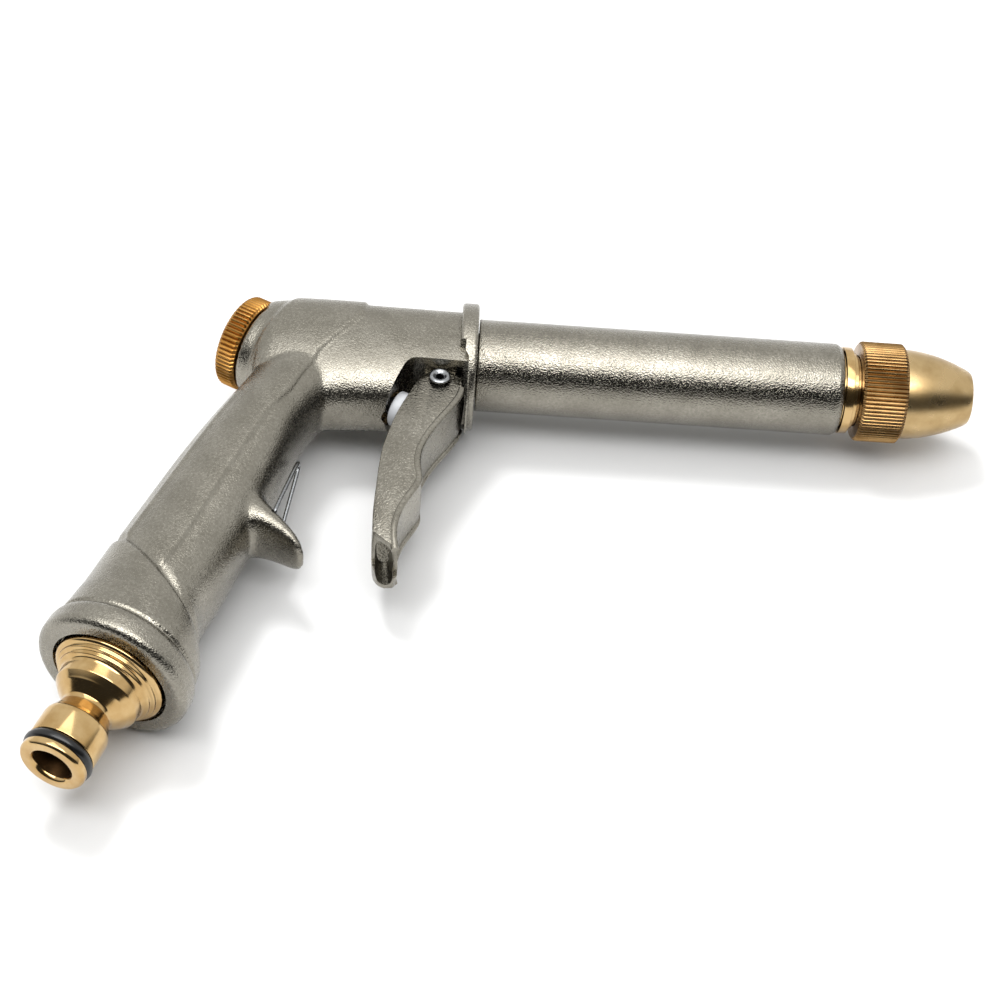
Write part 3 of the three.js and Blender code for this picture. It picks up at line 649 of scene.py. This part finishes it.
def recess_tool():
    """The pocket that the trigger's head swings in, less the web that carries its rivet."""
    valve_foot = valve_back + valve_axis * 43.5 * MM - zero
    slope = -valve_axis.y / valve_axis.x
    wall_x = valve_foot.x / MM
    wall_y = valve_foot.y / MM

    def wall(y):
        return wall_x + (y - wall_y) * slope

    top, corner, low = -11.3, 2.4, -31
    outline = [(-2.2, low), (-2.2, top), (wall(top) + corner, top)]
    start = Vector(outline[2])
    middle = Vector((wall(top), top))
    end = Vector((wall(top - corner), top - corner))
    for step in range(1, 4):
        t = step / 4
        point = start * (1 - t) ** 2 + middle * 2 * t * (1 - t) + end * t * t
        outline.append((point.x, point.y))
    outline += [(wall(top - corner), top - corner), (wall(low), low)]
    pocket = bmesh.new()
    prism(pocket, outline, -26, 26)
    tool = finished("pocket", pocket)

    rivet_x, rivet_y = [value / MM for value in (trigger_pivot - zero).xy]
    boss_radius, bridge_half, web_half = 4.5, 4.05, 6.8
    web = bmesh.new()
    spun(web, rod(boss_radius, web_half), Matrix.Translation(trigger_pivot), 48)
    joined(tool, finished("web_boss", web))
    bridge = bmesh.new()
    sides = (rivet_x - bridge_half, rivet_x + bridge_half)
    span = (rivet_y, top + 1)
    corners = [(sides[0], span[0]), (sides[1], span[0]), (sides[1], span[1]), (sides[0], span[1])]
    prism(bridge, corners, -web_half, web_half)
    joined(tool, finished("web_bridge", bridge))
    return tool


def body():
    """The casting: its blended skin, its panels, and everything that is cut into it."""
    piece = body_core()
    blend_masses(piece)
    press_panels(piece)
    joined(piece, recess_tool())

    # The foot's socket, the valve's stepped bores, and the ways for the water.
    socket = [(0, 97.7), (11.2, 97.7), (11.2, 119.6), (14.9, 119.6), (14.9, 122.3), (15.6, 124), (0, 124)]
    bored(piece, softened(socket, 0.15), grip_place, 96)
    chamber = [
        (0, -2), (10.3, -2), (10.3, 6), (8.5, 6), (8.5, 21), (6.3, 21), (6.3, 32.8), (5.3, 32.8),
        (5.3, 46), (0, 46),
    ]
    bored(piece, chamber, valve_place, 64)
    bored(piece, [(0, -39), (6.6, -39), (6.6, -14), (9, -14), (9, 1), (0, 1)], barrel_place, 64)
    foot = on_grip(99.7, 0)
    head = valve_back + valve_axis * 10 * MM
    length = (head - foot).length / MM
    bored(piece, [(0, 0), (5.5, 0), (5.5, length), (0, length)], looking(foot, head - foot), 48)

    holes = bmesh.new()
    spun(holes, rod(RIVET_RADIUS, 30), Matrix.Translation(trigger_pivot), 32)
    spun(holes, rod(LATCH_HOLE_RADIUS, 30), Matrix.Translation(latch_pivot), 24)
    joined(piece, finished("holes", holes))
    smooth(piece.data, 42)
    dress(piece, "body", NICKEL_CAST, "satin_nickel", "body_casting")


def flange():
    """The plate between the housing and the barrel. Below the housing it is thinner."""
    shape = bmesh.new()
    profile = softened([(9, -4.7), (17.6, -4.7), (17.6, 0), (9, 0), (9, -4.7)], 1.0, 4)
    spun(shape, profile + [profile[0].copy()], looking(spot(0, -1), Vector((1, 0, 0))), 128)
    piece = finished("flange_plate", shape)
    relief = bmesh.new()
    prism(relief, [(-8, -30), (-2.2, -30), (-2.2, -11.3), (-3.2, -10), (-3.2, -7), (-8, -7)], -30, 30)
    joined(piece, finished("relief", relief))
    smooth(piece.data, 38)
    dress(piece, "body", NICKEL_CAST, "satin_nickel")


# ---------------------------------------------------------------- barrel and twist nozzle


def barrel():
    """The plated tube, with the groove for its seal at the foot."""
    profile = [
        (6.6, -13.7), (8.7, -13.7), (8.7, -8), (7.4, -8), (7.4, -6), (8.7, -6), (8.7, 0.3), (12.75, 0.3),
        (12.75, 99.4), (11.9, 100.8), (11, 101), (11, 3), (6.6, 3),
    ]
    skin = turned("barrel_skin", profile, barrel_place, 144, 0.35)
    dress(skin, "body", NICKEL_TUBE, "satin_nickel", "barrel_tube")


def fitting():
    """The brass neck that the nozzle screws on, with its collar, its groove and its thread."""
    profile = [
        (6, 88), (10.7, 88), (10.7, 93), (9.2, 93), (9.2, 95.2), (10.7, 95.2), (10.7, 101.3), (12, 101.3),
        (12, 103.6), (10.6, 103.6), (10.6, 104.8), (9.6, 104.8),
    ]
    # The thread's crests and roots, at 1.5 mm pitch.
    for turn in range(8):
        start = 105.4 + turn * 1.5
        profile += [(9.6, start), (9.6, start + 0.3), (8.9, start + 0.75), (8.9, start + 1.05)]
    profile += [(9.6, 117.5), (9.2, 117.8), (6, 117.8)]
    neck = turned("nozzle_neck", profile, barrel_place, 96, 0.12)
    dress(neck, "body", BRASS_BRIGHT, "polished_brass", "nozzle_fitting")


def nozzle():
    """The nozzle's knurled ring, and its tapered nose."""
    ring = [
        (9.9, 105.8), (13.1, 105.8), (13.85, 106.5), (13.85, 112), (13.85, 117.5), (13.1, 118.2),
        (12.4, 118.2), (9.9, 118.2),
    ]
    flutes = 72
    outline = softened(ring, 0.25)
    outline.append(outline[0].copy())
    shape = bmesh.new()
    spun(shape, outline, Matrix(), flutes * FACETS_PER_FLUTE)
    cut_flutes(shape, flutes, (105.89, 118.11), 12.85, 0.7, 0.55)
    bmesh.ops.transform(shape, matrix=barrel_place, verts=shape.verts)
    dress(finished("nozzle_ring", shape, 28), "cap", BRASS_KNURL, "satin_brass", "nozzle_cap")

    nose = [(9.9, 116.5), (12.3, 116.5), (12.4, 118.4)]
    for step in range(1, 12):
        share = step / 11
        nose.append((12.4 - 4.5 * share**1.9, 118.4 + share * 17.7))
    nose += [(7.2, 137.2), (6.6, 137.4), (3.4, 137.4), (3, 137), (3, 132), (6.4, 130), (9.9, 119.8)]
    dress(turned("nozzle_nose", nose, barrel_place, 144, 0.5), "cap", BRASS_SATIN, "satin_brass")


def rear_knob():
    """The knurled knob that closes the valve's housing."""
    profile = [
        (0, -6.1), (11.6, -6.1), (12.4, -5.9), (13.06, -5.2), (13.06, -3), (13.06, -0.9), (12.5, -0.3),
        (12.2, 0), (9.8, 0), (9.8, 1.4), (8.2, 1.4), (8.2, 3.4), (9.8, 3.4), (9.8, 5), (0, 5),
    ]
    flutes = 60
    shape = bmesh.new()
    spun(shape, softened(profile, 0.2), Matrix(), flutes * FACETS_PER_FLUTE)
    cut_flutes(shape, flutes, (-6, -0.2), 12.1, 0.6, 0.6)
    bmesh.ops.transform(shape, matrix=valve_place, verts=shape.verts)
    dress(finished("rear_knob_skin", shape, 28), "knob", BRASS_KNOB, "knob_brass", "rear_knob")


# ---------------------------------------------------------------- trigger, cap, rivet and latch

TRIGGER_FRONT = [
    (6.9, -1.4), (6.3, -5.4), (3.9, -10.6), (0.8, -16), (-1.7, -21.2), (-3.4, -26.5), (-3.6, -31.5),
    (-2.7, -37), (-4.6, -41.8), (-7, -47.3), (-8.2, -53.6), (-7.7, -58.5), (-7.3, -60.8), (-8.2, -62.2),
]
TRIGGER_BACK = [
    (-10.4, -62.4), (-12.6, -60.8), (-14, -57), (-14.6, -49.3), (-14.4, -38.9), (-13.9, -28.2),
    (-12.6, -20.9), (-10.5, -12.5), (-6.1, -1.4), (-3.1, 2.4), (0, 3.6), (3.5, 2.4), (6.2, 0.7),
]
TRIGGER_WALL = 1.7
CHEEK_INSIDE = 7  # from the middle to the inside of each cheek


def set_in(line, depth):
    """A line of points moved to its right by a depth."""
    moved = []
    for before, point, after in zip([line[0], *line], line, [*line[1:], line[-1]]):
        run = (after - before).normalized()
        moved.append(point + Vector((run.y, -run.x)) * depth)
    return moved


def narrow_to_tip(piece):
    """Draws the trigger's sides in towards its tip."""
    for vert in piece.data.vertices:
        y = (vert.co - trigger_pivot).y / MM
        t = clamp((-y - 50) / 13)
        vert.co.z = zero.z + (vert.co.z - zero.z) * (1 - 0.3 * t**2)


def trigger():
    """A cast channel with a slightly crowned front wall, pinned at its head."""
    front = in_between(TRIGGER_FRONT, 4)
    back = in_between(TRIGGER_BACK, 4)
    outline = [Vector(point) for point in front + back]
    count = len(outline)
    normals = []
    for i in range(count):
        run = (outline[(i + 1) % count] - outline[i - 1]).normalized()
        normals.append(Vector((-run.y, run.x)))
    # Each layer: distance across from the middle, and how far the front wall stands out there.
    half_layers = [
        (8.6, -1.2), (8.5, -0.7), (8.3, -0.45), (7.8, -0.4), (7, -0.35), (5, -0.15), (2.6, 0), (0, 0.1),
    ]
    layers = [(-z, out) for z, out in half_layers[:-1]] + half_layers[::-1]
    shape = bmesh.new()
    rings = []
    pivot = trigger_pivot - zero
    for z, out in layers:
        verts = []
        for i, (point, normal) in enumerate(zip(outline, normals)):
            edge = out if i < len(front) else min(0, out) * 0.3
            where = point + normal * edge
            verts.append(shape.verts.new(spot(where.x, where.y, z) + Vector((pivot.x, pivot.y, 0))))
        rings.append([shape.edges.new((verts[i - 1], verts[i])) for i in range(count)])
        if abs(z) == half_layers[0][0]:
            shape.faces.new(verts)
    for low, high in zip(rings, rings[1:]):
        bmesh.ops.bridge_loops(shape, edges=low + high)
    bmesh.ops.recalc_face_normals(shape, faces=shape.faces)
    piece = finished("trigger_shell", shape)

    px, py = [value / MM for value in pivot.xy]
    wall = set_in([Vector(point) for point in front], TRIGGER_WALL)
    inner = [(point.x + px, point.y + py) for point in wall]
    inner[0] = (inner[0][0], inner[0][1] + 9)
    inner = [place for place in inner if place[1] > py - 55]
    hollow = bmesh.new()
    prism(hollow, [*inner, (px - 30, py - 48), (px - 30, py + 12)], -CHEEK_INSIDE, CHEEK_INSIDE)
    joined(piece, finished("hollow", hollow))

    # The tip is cut off at a slant, and a scoop is sunk in its end.
    slant = [(-16, -54.2), (-6, -61), (-4, -66), (-18, -66)]
    cut = bmesh.new()
    prism(cut, [(x + px, y + py) for x, y in slant], -3, 12)
    joined(piece, finished("tip_cut", cut))
    scoop = bmesh.new()
    ahead = Vector((1, 0, 0))
    stations = [(-11.6, -52, 1.5), (-11.2, -55, 2.2), (-10.9, -58, 2.3), (-10.4, -66, 2.3)]
    lofted(scoop, [(spot(x + px, y + py), ahead, wide, wide, 6.6) for x, y, wide in stations], 3)
    bmesh.ops.recalc_face_normals(scoop, faces=scoop.faces)
    joined(piece, finished("scoop", scoop))

    reach = (trigger_pivot - valve_back).dot(valve_axis)
    bar_radius = reach / MM - PUSH_CAP_END - PUSH_GAP
    bar = valve_back + valve_axis * reach
    rib = bmesh.new()
    spun(rib, rod(bar_radius, 7.7), Matrix.Translation(bar), 40)
    joined(piece, finished("push_bar", rib), "UNION")
    bored(piece, rod(RIVET_RADIUS, 20), Matrix.Translation(trigger_pivot), 40)

    narrow_to_tip(piece)
    trim = piece.modifiers.new("edges", "BEVEL")
    trim.width = 0.35 * MM
    trim.segments = 2
    trim.limit_method = "ANGLE"
    trim.angle_limit = math.radians(50)
    applied(piece)
    smooth(piece.data, 40)
    dress(piece, "trigger", NICKEL_TRIGGER, "satin_nickel", "trigger")
    piece.data.materials.append(NICKEL_SMOOTH)
    for face in piece.data.polygons:
        if abs(face.normal.z) < 0.6:
            face.material_index = 1


def trigger_beads():
    """The rolled edge down each side of the trigger's front."""
    pivot = (trigger_pivot - zero) / MM
    front = [Vector(point) for point in in_between(TRIGGER_FRONT, 2)][1:]
    line = set_in(front, 0.7)
    for side, name in ((1, "upper"), (-1, "lower")):
        route = [spot(point.x + pivot.x, point.y + pivot.y, side * 8) for point in line]
        bead = wire(f"trigger_bead_{name}", route[:-3], 1)
        narrow_to_tip(bead)
        dress(bead, "trigger", NICKEL_SMOOTH, "satin_nickel")


def push_cap():
    """The nylon cap on the stem, which the trigger presses."""
    profile = [(2.8, 44.3), (5, 44.3), (5, 48.4), (4, 49.4), (0, PUSH_CAP_END), (0, 47.3), (2.8, 47.3)]
    dress(turned("push_cap_skin", profile, valve_place, 64, 0.5), "stem", NYLON, "nylon", "push_cap")


def spring():
    """A closed-end coil behind the valve disc."""
    turns, radius, thickness = 5.5, 4.6, 0.55
    low, high = 6.15, 14.85
    steps = int(turns * 14)
    route = []
    for step in range(steps + 1):
        t = step / steps
        rise = low + (high - low) * (t + 0.06 * math.sin(TURN * t))
        angle = TURN * turns * t
        turn = Vector((radius * math.cos(angle), radius * math.sin(angle), rise))
        route.append(valve_place @ (turn * MM))
    piece = wire("valve_spring_coil", route, thickness)
    dress(piece, "body", STEEL, "steel", "valve_spring")
    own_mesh(piece)


def rivet():
    """A tubular rivet, rolled over at both ends."""
    profile = [
        (1.1, -9.5), (1.5, -9.85), (2, -10.1), (2.5, -10.05), (2.9, -9.75), (2.9, -9.4), (2.7, -9.3),
        (1.8, -9.3),
    ]
    profile += [(r, -h) for r, h in reversed(profile)]
    dress(
        turned("rivet_skin", profile, Matrix.Translation(trigger_pivot), 48, 0.2),
        "body", STEEL, "steel", "trigger_rivet",
    )


def latch():
    """A bail of spring wire: its feet turn in to the hook, and its legs meet in a narrow loop."""
    lean = math.radians(9)
    rise = Vector((math.sin(lean), math.cos(lean), 0))
    length = 23.7
    half = [(0, 4.7), (0, 6.9), (0.04, 7.4), (0.5, 4.6), (0.93, 1.75), (1, 0.75)]
    route = [latch_pivot + rise * share * length * MM + UP * z * MM for share, z in half]
    route += [latch_pivot + rise * share * length * MM - UP * z * MM for share, z in reversed(half)]
    dress(wire("latch_bail", route, 0.55), "latch", STEEL, "steel", "latch_wire")


# ---------------------------------------------------------------- tail


def tail():
    """The quick-connect tail: a nose with a seal ring, a waist for the catch, and a stepped collar."""
    end = 151
    profile = [
        (4.9, 99.6), (10.9, 99.6), (10.9, 119.9), (14.3, 119.9), (14.3, 123.4), (13.7, 123.9), (13.2, 124),
        (13.1, 124.9), (12.2, 125.1), (12.1, 126), (11.2, 126.3), (10.8, 127), (10.7, 129.6), (9.5, 131),
        (9.2, 131.4), (6.6, 133.6), (6.5, 134.6), (6.7, 135.2), (7.6, 137.4), (8.3, 138.6), (8.5, 139.6),
        (8.5, 146.2),
        (6.75, 146.2), (6.75, 148.9), (8.45, 148.9), (8.45, 150.3), (7.9, end), (5.6, end), (4.9, 150.1),
    ]
    piece = turned("tail_fitting", profile, grip_place, 128, 0.28)
    dress(piece, "body", BRASS_BRIGHT, "polished_brass", "hose_tail")
    piece.data.materials.append(BRASS_BORE_PAINTED_SHADE)
    # Faces inside the bore take the near-black brass: painted shade in the hole.
    for face in piece.data.polygons:
        away = face.center - on_grip(0, 0)
        reach = (away - grip_axis * away.dot(grip_axis)).length / MM
        if reach < 5.05:
            face.material_index = 1


def tail_ring():
    """The rubber ring in the nose's groove."""
    shape = bmesh.new()
    sides = 20
    angles = [TURN * side / sides for side in range(sides)]
    circle = [(7.55 + 1.35 * math.cos(angle), 147.55 + 1.45 * math.sin(angle)) for angle in angles]
    spun(shape, [*circle, circle[0]], grip_place, 96)
    dress(finished("tail_ring", shape), "body", RUBBER, "rubber", "tail_seal")


body()
spring()
flange()
barrel()
fitting()
nozzle()
rear_knob()
trigger()
trigger_beads()
push_cap()
rivet()
latch()
tail()
tail_ring()

HIDDEN_FINISHES = {
    "barrel_seal": RUBBER, "fitting_seal": RUBBER, "nozzle_seal": RUBBER, "valve_disc": RUBBER,
    "stem_seal": RUBBER, "knob_seal": RUBBER, "tail_washer": RUBBER, "jet_pin": BRASS_BRIGHT,
    "disc_nut": BRASS_BRIGHT, "gland_bush": BRASS_BRIGHT, "valve_stem": STEEL,
    "inlet_screen": STEEL,
}
for node_name, finish in HIDDEN_FINISHES.items():
    frame["nodes"][node_name].material_slots[0].material = finish
